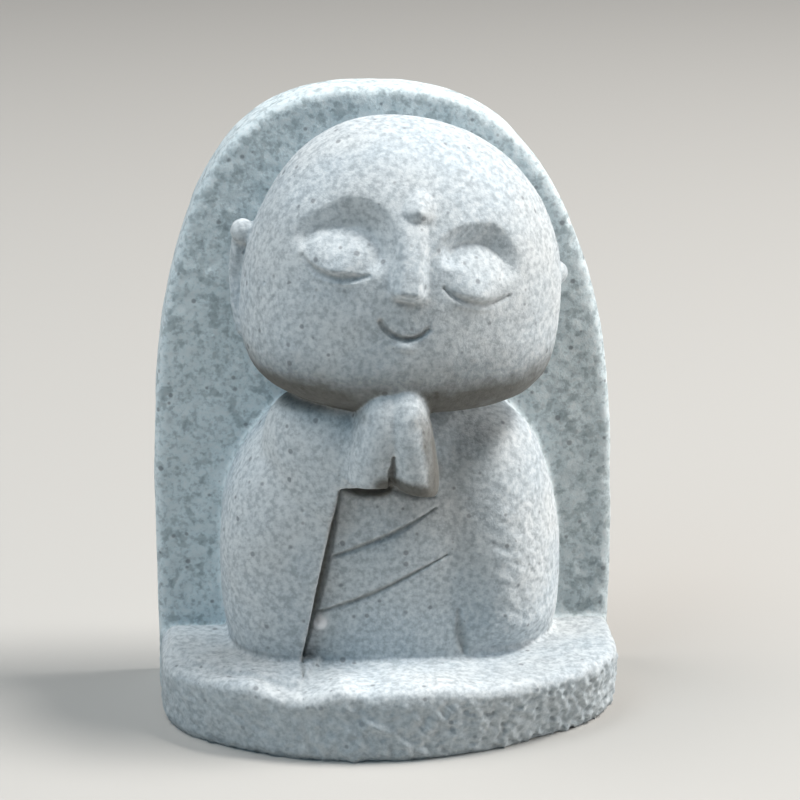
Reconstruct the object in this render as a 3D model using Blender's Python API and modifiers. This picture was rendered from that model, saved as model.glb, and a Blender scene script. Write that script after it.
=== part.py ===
"""Small garden jizo of cast stone: a praying monk on a low base, in front of an arched slab.

Metres, +Z up. The statue stands on z = 0, and the middle of its box is over the origin.
The front faces -Y. Left and right are the viewer's. The slab, the base and the figure are
one casting, so they are modelled as forms that are fused into one solid and then carved.

The figure is carved in units of its own: one unit is a millimetre on a figure of the height
FIGURE_UNITS. Its origin is on the slab's middle line, at the slab's face and the base's top.
"""
import math

import bmesh
import bpy
import numpy as np
from mathutils import Matrix, Vector

# Driving dimensions
HEIGHT = 0.110
SLAB_WIDTH = 0.0818
SLAB_THICKNESS = 0.0105
SLAB_ROUNDING = 0.0017
BASE_HEIGHT = 0.0125
BASE_WIDTH = 0.0808
BASE_DEPTH = 0.0444
BASE_FRONT_CURVE = 0.0225
BASE_ROUNDING = 0.0018
FIGURE_HEIGHT = 0.0942

# How far the base's foot draws in: (place across as a share of the width, length), and over what depth
BASE_DRAWN_IN = ((-0.5, 0.0018), (-0.1, 0.0006), (0.1, 0.0010), (0.3, 0.0032), (0.5, 0.0032))
BASE_DRAW_DEPTH = 0.0120

# The arch of the slab, as shares of its size
ARCH_SPRING = 0.27
ARCH_APEX = -0.018
ARCH_FULLNESS_LEFT = 2.75
ARCH_FULLNESS_RIGHT = 2.45
ARCH_STEPS = 28

# The casting's grain
VOXEL = 0.0005
SOFTENING_STEPS = 9
TRIANGLES = 7600
LINE_STEPS = 4
SPARE = 0.0020
SHORTEST_EDGE = 0.000005

# The figure's own frame
FIGURE_UNITS = 94.2
UNIT = FIGURE_HEIGHT / FIGURE_UNITS
SLAB_FACE = BASE_DEPTH / 2 - SLAB_THICKNESS
FIGURE_ORIGIN = Vector((0.0, SLAB_FACE, BASE_HEIGHT))

# Body, in carving units: (left, right, front, back, down, up) from a centre
TORSO_CENTRE = (0.2, 0.0, 11.5)
TORSO_REACH = (29.7, 30.8, 18.9, 5.0, 33.0, 36.5)
LEFT_ARM_CENTRE = (-1.0, -1.0, 15.0)
LEFT_ARM_REACH = (28.6, 28.6, 20.0, 5.0, 36.0, 31.0)
LEFT_ARM_SECTION = 3.8
FOREARM_CENTRE = (-9.5, -12.0, 37.5)
FOREARM_REACH = (12.5, 10.0, 10.0, 8.0, 17.0, 11.0)
FOREARM_SWING = -26.0
BODY_FULLNESS = 2.5
KNOB = ((-12.8, -18.9, 7.4), 1.0)
RIGHT_SLEEVE_PATH = ((19.5, 35.0), (19.8, 16.0), (21.5, 0.0))
RIGHT_SLEEVE_HALF_WIDTH = 10.5
RIGHT_SLEEVE_RISE = 2.6
HEM_FADE = (0.0, 6.0)
SLAB_FADE = (1.0, 3.0)

# Where the left arm stops, as an outline of (x, z): down the sleeve's edge, and back over the torso
ROBE_OPENING = ((-9.4, 33.3), (-16.4, -0.3), (-17.0, -6.0), (45.0, -6.0), (45.0, 70.0), (3.0, 70.0),
                (3.0, 32.5), (-1.0, 33.3))

# Stone left standing beside the foot: its outline seen from above, its lowest and highest level, its rounding
MOUND = ((-12.5, -17.5), (-16.8, -27.0), (-21.8, -25.6), (-29.4, -21.8), (-35.4, -16.8), (-39.0, -10.5),
         (-39.0, -1.0), (-12.5, -1.0))
MOUND_LEVELS = (-2.0, 1.0)
MOUND_ROUNDING = 0.6

# Hands, pressed flat together and pointing up, and what fills the gap above: (centre, reach, lean in degrees)
HANDS = (
    ((-3.3, -22.0, 40.6), (4.6, 4.6, 7.2, 9.0, 12.0, 12.0), 12.0),
    ((2.7, -22.0, 40.6), (4.1, 4.0, 8.4, 9.0, 12.0, 12.4), -8.0),
    ((-0.2, -21.8, 43.5), (4.8, 4.4, 7.0, 8.0, 6.0, 9.4), 2.0),
)
HAND_NOD = 8.0

# What lies below the wrists, as an outline of (x, z)
BELOW_HANDS = ((-12.0, 35.0), (-12.0, 0.0), (45.0, 0.0), (45.0, 33.0), (6.5, 33.0), (-1.0, 35.2))

# Carved lines of the body, seen from the front: (path of (x, z), radius)
BODY_LINES = (
    (((-9.3, 32.6), (-12.4, 16.5), (-16.0, 0.8)), 0.8),
    (((-9.4, 32.3), (-5.0, 31.7), (-1.2, 31.9)), 0.8),
    (((-1.2, 31.9), (3.5, 30.6), (7.0, 30.2)), 0.7),
    (((-1.1, 36.4), (-1.0, 38.5), (-0.8, 41.0)), 0.8),
    (((-10.4, 19.6), (-4.1, 21.9), (1.1, 24.1), (7.3, 27.8)), 0.55),
    (((-13.1, 9.4), (-5.8, 11.8), (1.1, 15.1), (9.4, 19.5)), 0.55),
    (((11.4, 9.0), (12.0, 4.0), (12.4, 0.8)), 0.6),
)

# The base's front rim rises and sinks: (x, height), where the rim is in depth and in height
RIM_WAVE = ((-36.0, 0.5), (-25.3, 0.9), (-19.5, -0.9), (-16.5, -0.9), (-13.0, 0.3), (-10.0, 1.2), (-5.0, 0.6),
            (0.0, 1.0), (8.0, 0.8), (14.0, 0.2), (41.0, 0.0))
RIM_DEPTHS = (21.0, 28.0)
RIM_LEVELS = (-9.0, -1.5)
RIM_TOP = 2.5

# Head
HEAD_CENTRE = (-0.3, -7.0, 63.3)
HEAD_REACH = (24.9, 29.7, 21.5, 12.0, 18.1, 30.8)
HEAD_FULLNESS_DOWN = 3.6
HEAD_FULLNESS_UP = 2.12
HEAD_SECTION = 2.1
HEAD_LEAN = 4.6
FACE_CENTRE = (2.0, 68.5)
FACE_TILT = 10.5
CHIN_FADE = (-14.0, -10.0)

# The face, in its own tilted plane: right and up from FACE_CENTRE. Each eye has the edge of its
# brow, drawn with the hollow on its right hand, the slope of the hollow, the lid and the closed line.
LEFT_EYE = {
    "brow": ((-21.4, 3.0), (-20.4, 5.8), (-17.9, 9.2), (-13.7, 12.8), (-9.6, 13.6), (-6.2, 12.5),
             (-4.4, 10.4), (-3.3, 7.0), (-2.5, 3.5), (-2.2, 1.0)),
    "slope": 0.75,
    "depth": 2.9,
    "lid": ((-12.9, 1.3), (9.6, 8.4, 4.4, 7.2)),
    "line": ((-18.2, 2.4), (-16.2, 1.0), (-13.8, 0.5), (-11.3, 0.7), (-9.2, 1.2), (-7.4, 1.9)),
}
RIGHT_EYE = {
    "brow": ((2.4, 5.0), (3.2, 9.0), (5.3, 11.4), (7.6, 12.4), (9.9, 12.8), (11.9, 12.7), (13.9, 11.9),
             (15.3, 10.6), (17.0, 8.4), (19.0, 4.5)),
    "slope": 0.9,
    "depth": 2.6,
    "lid": ((10.4, 0.9), (8.8, 9.2, 4.4, 8.4)),
    "line": ((5.2, 1.9), (6.8, 1.0), (8.8, 0.4), (11.2, 0.1), (13.4, 0.3), (15.0, 0.8), (16.4, 1.5)),
}
FACE_DIVIDE = -0.5
HOLLOW_FADE = (0.5, 5.5)
LID_RISE = 1.2
LID_FALL = 3.6
LID_SECTION = 1.5
LID_FULLNESS = 2.4
EYE_LINE_RADIUS = 0.5
NOSE_PATH = ((-1.7, 12.0), (-1.3, 8.0), (-0.9, 4.5), (-0.6, 0.0))
NOSE_HALF_WIDTHS = (2.9, 3.6)
NOSE_RIDGE = 0.3
NOSE_RISES = (0.4, 2.9)
NOSE_END = (-1.6, 0.7)
MOUTH = ((-4.1, -5.2), (-3.0, -6.4), (-1.4, -7.2), (0.5, -7.4), (2.1, -6.9), (3.1, -6.1), (3.8, -5.2))
MOUTH_RADIUS = 0.5
URNA_CENTRE = (-0.8, 13.0)
URNA_REACH = (2.9, 3.8, 1.9)
URNA_RISE = 1.2

# Ears, on the head's sides: each has a knob at its top, (centre, radius), and a strip below, (path, radius)
EAR_TOPS = (
    ((-24.7, -5.6, 74.4), 2.1),
    ((28.8, -6.6, 66.2), 2.1),
)
EAR_STRIPS = (
    (((-25.2, -4.6, 73.0), (-25.8, -3.8, 66.0), (-25.2, -4.2, 58.0), (-24.4, -5.0, 56.0)), 1.3),
    (((28.2, -5.6, 66.0), (28.8, -5.0, 60.0), (27.8, -5.4, 54.0)), 1.2),
)


def place(point):
    """A point of the figure's frame, in metres."""
    return FIGURE_ORIGIN + UNIT * Vector(point)


def smooth_step(value, low, high):
    """Rises from 0 at low to 1 at high, without corners."""
    share = np.clip((value - low) / (high - low), 0.0, 1.0)
    return share * share * (3.0 - 2.0 * share)


def spline(points, steps=10):
    """Samples a Catmull-Rom curve through the points."""
    knots = np.array([points[0], *points, points[-1]], dtype=float)
    samples = []
    for before, start, end, after in zip(knots, knots[1:], knots[2:], knots[3:]):
        for share in np.arange(steps) / steps:
            samples.append(0.5 * (
                2.0 * start
                + (end - before) * share
                + (2.0 * before - 5.0 * start + 4.0 * end - after) * share ** 2
                + (3.0 * start - before - 3.0 * end + after) * share ** 3))
    samples.append(knots[-1])
    return np.array(samples)


def add_object(name, bm):
    """Turns a bmesh into an object in the model's collection."""
    mesh = bpy.data.meshes.new(name)
    bm.to_mesh(mesh)
    bm.free()
    model_object = bpy.data.objects.new(name, mesh)
    collection.objects.link(model_object)
    return model_object


def blob(name, centre, reach, fullness, fullness_down=None, section=None, lean=0.0, nod=0.0, swing=0.0):
    """A rounded form with six half-lengths, from a sphere. Fullness 2 is an ellipsoid, more is squarer.

    lean tips it to the right, nod to the front, and swing turns it about the upright, in degrees.
    """
    bm = bmesh.new()
    bmesh.ops.create_uvsphere(bm, u_segments=64, v_segments=40, radius=1.0)
    left, right, front, back, down, up = reach
    section = section or fullness
    for vert in bm.verts:
        x, y, z = vert.co
        power = fullness_down if z < 0.0 and fullness_down else fullness
        around = (abs(x) ** section + abs(y) ** section) ** (power / section)
        scale = (around + abs(z) ** power) ** (-1.0 / power)
        x *= scale * (left if x < 0.0 else right)
        y *= scale * (front if y < 0.0 else back)
        z *= scale * (down if z < 0.0 else up)
        vert.co = (x, y, z)
    turn = Matrix.Identity(4)
    for degrees, axis in ((swing, "Z"), (nod, "X"), (lean, "Y")):
        turn = turn @ Matrix.Rotation(math.radians(degrees), 4, axis)
    bmesh.ops.transform(bm, matrix=turn, verts=bm.verts)
    for vert in bm.verts:
        vert.co = place(vert.co + Vector(centre))
    return add_object(name, bm)


def put_in_order(form):
    """Numbers a cut form's points and faces by their place, as the Boolean numbers them anew each run."""
    mesh = form.data
    places = [tuple(vertex.co) for vertex in mesh.vertices]
    order = sorted(range(len(places)), key=places.__getitem__)
    rank = {old: new for new, old in enumerate(order)}
    faces = []
    for polygon in mesh.polygons:
        corners = [rank[corner] for corner in polygon.vertices]
        first = corners.index(min(corners))
        faces.append(corners[first:] + corners[:first])
    mesh.clear_geometry()
    mesh.from_pydata([places[old] for old in order], [], sorted(faces))


def carve_away(model, cutter):
    """Takes the cutter's volume out of the model."""
    cut = model.modifiers.new(cutter.name, "BOOLEAN")
    cut.operation = "DIFFERENCE"
    cut.solver = "EXACT"
    cut.object = cutter
    bpy.context.view_layer.objects.active = model
    bpy.ops.object.modifier_apply(modifier=cut.name)
    bpy.data.objects.remove(cutter)
    put_in_order(model)


def cut_out(form, outline):
    """Takes away what lies within an outline of (x, z), in metres, seen from the front."""
    bm = bmesh.new()
    corners = [bm.verts.new((x, -HEIGHT, z)) for x, z in outline]
    front = bm.faces.new(corners)
    grown = bmesh.ops.extrude_face_region(bm, geom=[front])["geom"]
    back = [item for item in grown if isinstance(item, bmesh.types.BMVert)]
    bmesh.ops.translate(bm, vec=(0.0, 2 * HEIGHT, 0.0), verts=back)
    bmesh.ops.recalc_face_normals(bm, faces=bm.faces)
    carve_away(form, add_object("cut_out", bm))


def in_metres(outline):
    """An outline of the figure's (x, z), in metres."""
    places = [place((x, 0.0, z)) for x, z in outline]
    return [(point.x, point.z) for point in places]


def curve_to_mesh(name, curve):
    """A curve's surface as a closed mesh."""
    drawn = bpy.data.objects.new(name, curve)
    collection.objects.link(drawn)
    evaluated = drawn.evaluated_get(bpy.context.evaluated_depsgraph_get())
    bm = bmesh.new()
    bm.from_mesh(bpy.data.meshes.new_from_object(evaluated))
    bpy.data.objects.remove(drawn)
    bmesh.ops.remove_doubles(bm, verts=bm.verts, dist=0.00001)
    bmesh.ops.recalc_face_normals(bm, faces=bm.faces)
    return add_object(name, bm)


def plan_block(name, outline, low, high, rounding):
    """An upright block from an outline seen from above, with rounded edges."""
    curve = bpy.data.curves.new(name, "CURVE")
    curve.dimensions = "2D"
    curve.fill_mode = "BOTH"
    curve.extrude = (high - low) / 2 - rounding
    curve.bevel_depth = rounding
    curve.bevel_resolution = 4
    curve.offset = -rounding
    polyline = curve.splines.new("POLY")
    polyline.points.add(len(outline) - 1)
    for point, (x, y) in zip(polyline.points, outline):
        point.co = (x, y, 0.0, 1.0)
    polyline.use_cyclic_u = True
    block = curve_to_mesh(name, curve)
    block.data.transform(Matrix.Translation((0.0, 0.0, (low + high) / 2)))
    return block


def arch_outline():
    """The slab's outline, (x, z): straight sides below the spring, then an arch, fuller at the left."""
    spring = HEIGHT * ARCH_SPRING
    apex = SLAB_WIDTH * ARCH_APEX
    outline = [(SLAB_WIDTH / 2, -SPARE)]
    for step in range(2 * ARCH_STEPS + 1):
        angle = math.pi * step / (2 * ARCH_STEPS)
        right_side = step <= ARCH_STEPS
        fullness = ARCH_FULLNESS_RIGHT if right_side else ARCH_FULLNESS_LEFT
        reach = SLAB_WIDTH / 2 - apex if right_side else SLAB_WIDTH / 2 + apex
        across = abs(math.cos(angle)) ** (2.0 / fullness) * (1 if right_side else -1)
        rise = math.sin(angle) ** (2.0 / fullness) if 0 < step < 2 * ARCH_STEPS else 0.0
        outline.append((apex + reach * across, spring + (HEIGHT - spring) * rise))
    outline.append((-SLAB_WIDTH / 2, -SPARE))
    return outline


def slab():
    """The upright slab, drawn in the flat and then stood up."""
    form = plan_block("slab", arch_outline(), 0.0, SLAB_THICKNESS, SLAB_ROUNDING)
    stand_up = Matrix.Translation((0.0, BASE_DEPTH / 2, 0.0)) @ Matrix.Rotation(math.pi / 2, 4, "X")
    form.data.transform(stand_up)
    return form


def base():
    """The low base: as wide as the slab, with a round front that draws in towards the ground."""
    front_centre = -BASE_DEPTH / 2 + BASE_FRONT_CURVE
    outline = [(BASE_WIDTH / 2, BASE_DEPTH / 2), (-BASE_WIDTH / 2, BASE_DEPTH / 2)]
    for step in range(41):
        angle = math.pi * (1.0 + step / 40)
        outline.append((BASE_WIDTH / 2 * math.cos(angle), front_centre + BASE_FRONT_CURVE * math.sin(angle)))
    form = plan_block("base", outline, -SPARE, BASE_HEIGHT, BASE_ROUNDING)
    across, lengths = np.array(BASE_DRAWN_IN).T
    for vertex in form.data.vertices:
        x, y, z = vertex.co
        if z < BASE_HEIGHT / 2:
            drawn_in = np.interp(x / BASE_WIDTH, across, lengths)
            vertex.co.y += drawn_in * smooth_step(SLAB_FACE - y, 0.0, BASE_DRAW_DEPTH)
    return form


def mound():
    """Stone left standing in the corner at the figure's left."""
    low, high = MOUND_LEVELS
    outline = [place((x, y, 0.0)).xy for x, y in MOUND]
    return plan_block("mound", outline, BASE_HEIGHT + low * UNIT, BASE_HEIGHT + high * UNIT,
                      MOUND_ROUNDING * UNIT)


def body():
    """Torso under the robe, the left sleeve, the one forearm that shows, and a bead beside the sleeve."""
    torso = blob("torso", TORSO_CENTRE, TORSO_REACH, BODY_FULLNESS)
    left_sleeve = blob("left_sleeve", LEFT_ARM_CENTRE, LEFT_ARM_REACH, BODY_FULLNESS,
                       section=LEFT_ARM_SECTION)
    forearm = blob("forearm", FOREARM_CENTRE, FOREARM_REACH, BODY_FULLNESS, swing=FOREARM_SWING)
    for arm in (left_sleeve, forearm):
        cut_out(arm, in_metres(ROBE_OPENING))
    centre, radius = KNOB
    return [torso, left_sleeve, forearm, blob("knob", centre, 6 * (radius,), 2.0)]


def hands():
    """Two mitten-like hands, palm to palm, cut off level at the wrists."""
    forms = []
    for number, (centre, reach, lean) in enumerate(HANDS):
        hand = blob(f"hand_{number}", centre, reach, BODY_FULLNESS, lean=lean, nod=HAND_NOD)
        cut_out(hand, in_metres(BELOW_HANDS))
        forms.append(hand)
    return forms


def head():
    """A round head, fuller at the cheeks, half sunk into the slab."""
    return blob("head", HEAD_CENTRE, HEAD_REACH, HEAD_FULLNESS_UP,
                fullness_down=HEAD_FULLNESS_DOWN, section=HEAD_SECTION, lean=HEAD_LEAN)


def tube(name, points, radius):
    """A round bar along a smooth path, for what is modelled and not cut."""
    curve = bpy.data.curves.new(name, "CURVE")
    curve.dimensions = "3D"
    curve.bevel_depth = radius * UNIT
    curve.bevel_resolution = 3
    curve.use_fill_caps = True
    path = spline(points, 6)
    polyline = curve.splines.new("POLY")
    polyline.points.add(len(path) - 1)
    for point, position in zip(polyline.points, path):
        point.co = (*place(position), 1.0)
    return curve_to_mesh(name, curve)


def ears():
    """Long thin ears that lie flat on the sides of the head."""
    tops = [blob(f"ear_top_{number}", centre, 6 * (radius,), 2.0)
            for number, (centre, radius) in enumerate(EAR_TOPS)]
    strips = [tube(f"ear_{number}", points, radius) for number, (points, radius) in enumerate(EAR_STRIPS)]
    return tops + strips


def fuse(name, forms):
    """Fuses overlapping forms into one skin of even grain."""
    bpy.ops.object.select_all(action="DESELECT")
    for form in forms:
        form.select_set(True)
    bpy.context.view_layer.objects.active = forms[0]
    bpy.ops.object.join()
    fused = bpy.context.view_layer.objects.active
    fused.name = name
    fused.data.name = name
    skin = fused.modifiers.new("Skin", "REMESH")
    skin.mode = "VOXEL"
    skin.voxel_size = VOXEL
    soften = fused.modifiers.new("Soften", "SMOOTH")
    soften.factor = 0.5
    soften.iterations = SOFTENING_STEPS
    bpy.ops.object.modifier_apply(modifier=skin.name)
    bpy.ops.object.modifier_apply(modifier=soften.name)
    return fused


def nearest(path, across, up):
    """Distance from each point to a path, the share of its length there, and on which hand the point is."""
    runs = np.linalg.norm(np.diff(path, axis=0), axis=1)
    covered = np.concatenate(([0.0], np.cumsum(runs))) / runs.sum()
    best = np.full(across.shape, np.inf)
    share = np.zeros(across.shape)
    right_hand = np.zeros(across.shape)
    for start, end, low, high in zip(path, path[1:], covered, covered[1:]):
        run = end - start
        side, rise = across - start[0], up - start[1]
        along = np.clip((side * run[0] + rise * run[1]) / (run @ run), 0.0, 1.0)
        distance = np.hypot(side - along * run[0], rise - along * run[1])
        closer = distance < best
        best[closer] = distance[closer]
        share[closer] = (low + (high - low) * along)[closer]
        right_hand[closer] = np.sign(side * run[1] - rise * run[0])[closer]
    return best, share, right_hand


def bell(distance):
    """1 in the middle, 0 from distance 1 on, smooth at both."""
    return np.clip(1.0 - distance ** 2, 0.0, None) ** 2


def eye_relief(eye, across, up):
    """The hollow under a brow, with the lid that fills its lower part."""
    distance, share, right_hand = nearest(spline(eye["brow"]), across, up)
    inside = np.clip(distance * right_hand, 0.0, None)
    ends = smooth_step(share, 0.0, 0.16) * (1.0 - smooth_step(share, 0.8, 1.0))
    hollow = -np.minimum(eye["slope"] * inside, eye["depth"]) * ends * smooth_step(up, *HOLLOW_FADE)
    (lid_across, lid_up), (left, right, down, top) = eye["lid"]
    side, rise = across - lid_across, up - lid_up
    side /= np.where(side < 0.0, left, right)
    rise /= np.where(rise < 0.0, down, top)
    radius = (np.abs(side) ** LID_FULLNESS + np.abs(rise) ** LID_FULLNESS) ** (1.0 / LID_FULLNESS)
    return np.maximum(hollow, LID_RISE - LID_FALL * radius ** LID_SECTION)


def face_relief(across, up):
    """Height of the face's features over the round head, in the plane of the face."""
    left_eye, right_eye = (eye_relief(eye, across, up) for eye in (LEFT_EYE, RIGHT_EYE))
    height = np.where(across < FACE_DIVIDE, left_eye, right_eye)
    distance, share, _ = nearest(spline(NOSE_PATH), across, up)
    rise = NOSE_RISES[0] + (NOSE_RISES[1] - NOSE_RISES[0]) * share
    half_width = NOSE_HALF_WIDTHS[0] + (NOSE_HALF_WIDTHS[1] - NOSE_HALF_WIDTHS[0]) * share
    profile = 1.0 - smooth_step(distance / half_width, NOSE_RIDGE, 1.0)
    height += rise * profile * smooth_step(up, *NOSE_END)
    aside, above = across - URNA_CENTRE[0], up - URNA_CENTRE[1]
    reach_aside, reach_up, reach_down = URNA_REACH
    from_urna = np.hypot(aside / reach_aside, above / np.where(above > 0.0, reach_up, reach_down))
    height += URNA_RISE * bell(from_urna) ** 0.7
    return height


def face_to_front(across, up):
    """A place in the plane of the face, as x and z of the figure's frame."""
    turn = math.radians(FACE_TILT)
    x = FACE_CENTRE[0] + across * math.cos(turn) + up * math.sin(turn)
    z = FACE_CENTRE[1] - across * math.sin(turn) + up * math.cos(turn)
    return x, z


def model_front(model):
    """Moves the skin along its normals for the face and the right sleeve, and the base's rim up and down."""
    mesh = model.data
    count = len(mesh.vertices)
    points = np.empty(3 * count)
    normals = np.empty(3 * count)
    mesh.vertices.foreach_get("co", points)
    mesh.vertices.foreach_get("normal", normals)
    points = points.reshape(-1, 3)
    normals = normals.reshape(-1, 3)
    x, y, z = ((points - np.array(FIGURE_ORIGIN)) / UNIT).T
    turn = math.radians(FACE_TILT)
    side, rise = x - FACE_CENTRE[0], z - FACE_CENTRE[1]
    across = side * math.cos(turn) - rise * math.sin(turn)
    up = side * math.sin(turn) + rise * math.cos(turn)
    facing = smooth_step(-normals[:, 1], 0.0, 0.35)
    height = face_relief(across, up) * facing * (y < HEAD_CENTRE[1]) * smooth_step(up, *CHIN_FADE)
    distance, _, _ = nearest(spline(RIGHT_SLEEVE_PATH), x, z)
    sleeve = RIGHT_SLEEVE_RISE * bell(distance / RIGHT_SLEEVE_HALF_WIDTH)
    height += sleeve * facing * smooth_step(-y, *SLAB_FADE) * smooth_step(z, *HEM_FADE)
    rim = smooth_step(-y, *RIM_DEPTHS) * smooth_step(z, *RIM_LEVELS) * (z < RIM_TOP)
    wave_x, wave_z = np.array(RIM_WAVE).T
    points += normals * (height * UNIT)[:, None]
    points[:, 2] += rim * np.interp(x, wave_x, wave_z) * UNIT
    mesh.vertices.foreach_set("co", points.ravel())
    mesh.update()


def reduce_faces(model):
    """Keeps the triangles where the form bends, and cuts the underside flat."""
    thin_out = model.modifiers.new("Thin out", "DECIMATE")
    thin_out.ratio = TRIANGLES / (2 * len(model.data.polygons))
    bpy.ops.object.modifier_apply(modifier=thin_out.name)
    cut_out(model, ((-HEIGHT, -HEIGHT), (HEIGHT, -HEIGHT), (HEIGHT, 0.0), (-HEIGHT, 0.0)))


def cut_line(model, name, path, radius):
    """Cuts a round-bottomed line into the front, along a path of (x, z) laid onto the surface."""
    curve = bpy.data.curves.new(name, "CURVE")
    curve.dimensions = "3D"
    curve.bevel_depth = radius * UNIT
    curve.bevel_resolution = 1
    curve.use_fill_caps = True
    seen_from_front = spline(path, LINE_STEPS)
    polyline = curve.splines.new("POLY")
    polyline.points.add(len(seen_from_front) - 1)
    for number, (point, (x, z)) in enumerate(zip(polyline.points, seen_from_front)):
        hit, surface, _, _ = model.ray_cast(place((x, -BASE_DEPTH / UNIT, z)), (0.0, 1.0, 0.0))
        point.co = (*surface, 1.0)
        at_end = number in (0, len(seen_from_front) - 1)
        point.radius = 0.5 if at_end else 1.0
    carve_away(model, curve_to_mesh(name, curve))


def cut_lines(model):
    """The crisp lines: sleeve, hands, robe, closed eyes and mouth."""
    for number, (path, radius) in enumerate(BODY_LINES):
        cut_line(model, f"body_line_{number}", path, radius)
    for name, eye in (("left", LEFT_EYE), ("right", RIGHT_EYE)):
        cut_line(model, f"{name}_eye_line", [face_to_front(*point) for point in eye["line"]], EYE_LINE_RADIUS)
    cut_line(model, "mouth_line", [face_to_front(*point) for point in MOUTH], MOUTH_RADIUS)


def collapse_slivers(model):
    """Closes up the edges that the cuts have left too short to make."""
    bm = bmesh.new()
    bm.from_mesh(model.data)
    bmesh.ops.dissolve_degenerate(bm, dist=SHORTEST_EDGE, edges=bm.edges)
    bm.to_mesh(model.data)
    bm.free()


def stone():
    """Pale grey cast stone."""
    material = bpy.data.materials.new("stone")
    material.use_nodes = True
    shader = material.node_tree.nodes["Principled BSDF"]
    shader.inputs["Base Color"].default_value = (0.42, 0.46, 0.48, 1.0)
    shader.inputs["Roughness"].default_value = 0.9
    shader.inputs["Metallic"].default_value = 0.0
    return material


for old in list(bpy.data.objects):
    bpy.data.objects.remove(old, do_unlink=True)

collection = bpy.data.collections.new("jizo")
bpy.context.scene.collection.children.link(collection)

statue = fuse("jizo_statue", [slab(), base(), mound(), *body(), *hands(), head(), *ears()])
model_front(statue)
reduce_faces(statue)
cut_lines(statue)
collapse_slivers(statue)
statue.data.materials.clear()
statue.data.materials.append(stone())
statue.data.shade_smooth()
statue.data.set_sharp_from_angle(angle=math.radians(35))
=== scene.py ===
"""Looks of the jizo statue: its carved skin in fine grain, the cast stone, a plain studio and the camera.

The skin is modelled in carving units: one unit is a millimetre on a statue 110 units high. x runs
to the viewer's right, y to the back from the slab's face, and z up from the base's top. The forms
are fused by a voxel remesh, then points are moved along their normals for the carving, the pits and
the wear. The last step brings the skin to its place in the frame, in metres.

A fade has two limits, where it starts and where it is full. Those of a fade that works downwards or
to the front are in -z or -y.
"""
import itertools
import math

import bmesh
import bpy
import numpy as np
from mathutils import Matrix, Vector


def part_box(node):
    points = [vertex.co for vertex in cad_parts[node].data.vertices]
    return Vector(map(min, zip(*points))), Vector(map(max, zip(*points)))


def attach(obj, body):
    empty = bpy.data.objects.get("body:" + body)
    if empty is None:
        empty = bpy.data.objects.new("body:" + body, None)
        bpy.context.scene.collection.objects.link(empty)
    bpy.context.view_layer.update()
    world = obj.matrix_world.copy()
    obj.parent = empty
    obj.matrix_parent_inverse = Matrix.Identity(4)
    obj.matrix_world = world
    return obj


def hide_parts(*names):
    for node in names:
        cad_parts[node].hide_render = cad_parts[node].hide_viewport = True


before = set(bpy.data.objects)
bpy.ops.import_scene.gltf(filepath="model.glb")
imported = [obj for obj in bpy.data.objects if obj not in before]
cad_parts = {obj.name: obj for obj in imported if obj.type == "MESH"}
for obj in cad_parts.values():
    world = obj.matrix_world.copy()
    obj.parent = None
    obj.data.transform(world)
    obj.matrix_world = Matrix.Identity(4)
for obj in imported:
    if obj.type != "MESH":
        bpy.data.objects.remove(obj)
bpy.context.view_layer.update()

# The statue's own sizes, in carving units
STATUE_HEIGHT = 110.0
BASE_HEIGHT = 12.5
SLAB_THICKNESS = 10.5
SLAB_ROUNDING = 1.7
BASE_WIDTH = 80.8
BASE_FRONT_CURVE = 22.5
BASE_ROUNDING = 1.8
BASE_STEPS = 60

# The same, from the frame
low_corner, high_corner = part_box("jizo_statue")
UNIT = (high_corner.z - low_corner.z) / STATUE_HEIGHT
SLAB_WIDTH = (high_corner.x - low_corner.x) / UNIT
BASE_DEPTH = (high_corner.y - low_corner.y) / UNIT
BASE_FRONT = SLAB_THICKNESS - BASE_DEPTH
SLAB_TOP = STATUE_HEIGHT - BASE_HEIGHT
ORIGIN = Vector((
    (low_corner.x + high_corner.x) / 2,
    high_corner.y - SLAB_THICKNESS * UNIT,
    low_corner.z + BASE_HEIGHT * UNIT,
))

# How far the base's front draws in at the ground: (x, distance), growing over this depth from the slab
BASE_DRAWN_IN = ((-40.0, 1.8), (-8.0, 0.6), (8.0, 1.0), (24.0, 3.2), (40.0, 3.2))
BASE_DRAW_DEPTH = 12.0

# The slab's arch
ARCH_SPRING = 17.2
ARCH_APEX = -1.5
ARCH_FULLNESS_LEFT = 2.75
ARCH_FULLNESS_RIGHT = 2.45
ARCH_STEPS = 28

# The skin's grain
BLOB_SEGMENTS = (96, 60)
BLOCK_EDGE_STEPS = 6
TUBE_EDGE_STEPS = 4
TUBE_STEPS = 8
SEAM_GAP = 0.01
VOXEL = 0.27
SMOOTH_FACTOR = 0.5
SOFTENING_STEPS = 22
BLEND_STEPS = 130
NOISE_TABLE = (32, 32, 32)
PIT_REACH = 0.62

# Thinning. It never joins two points that have no weight, so every point has at least LEAST_PLAIN.
TRIANGLES = 192000
PLAIN_FACTOR = 0.0002
LEAST_PLAIN = 0.1
WEIGHT_STEPS = 10
PLAIN_FACING = (-0.1, 0.4)
PLAIN_FADE = (-4.0, 0.0)
UNDERSIDE_FACING = -0.8
UNDERSIDE_LEVEL = 0.6

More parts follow.
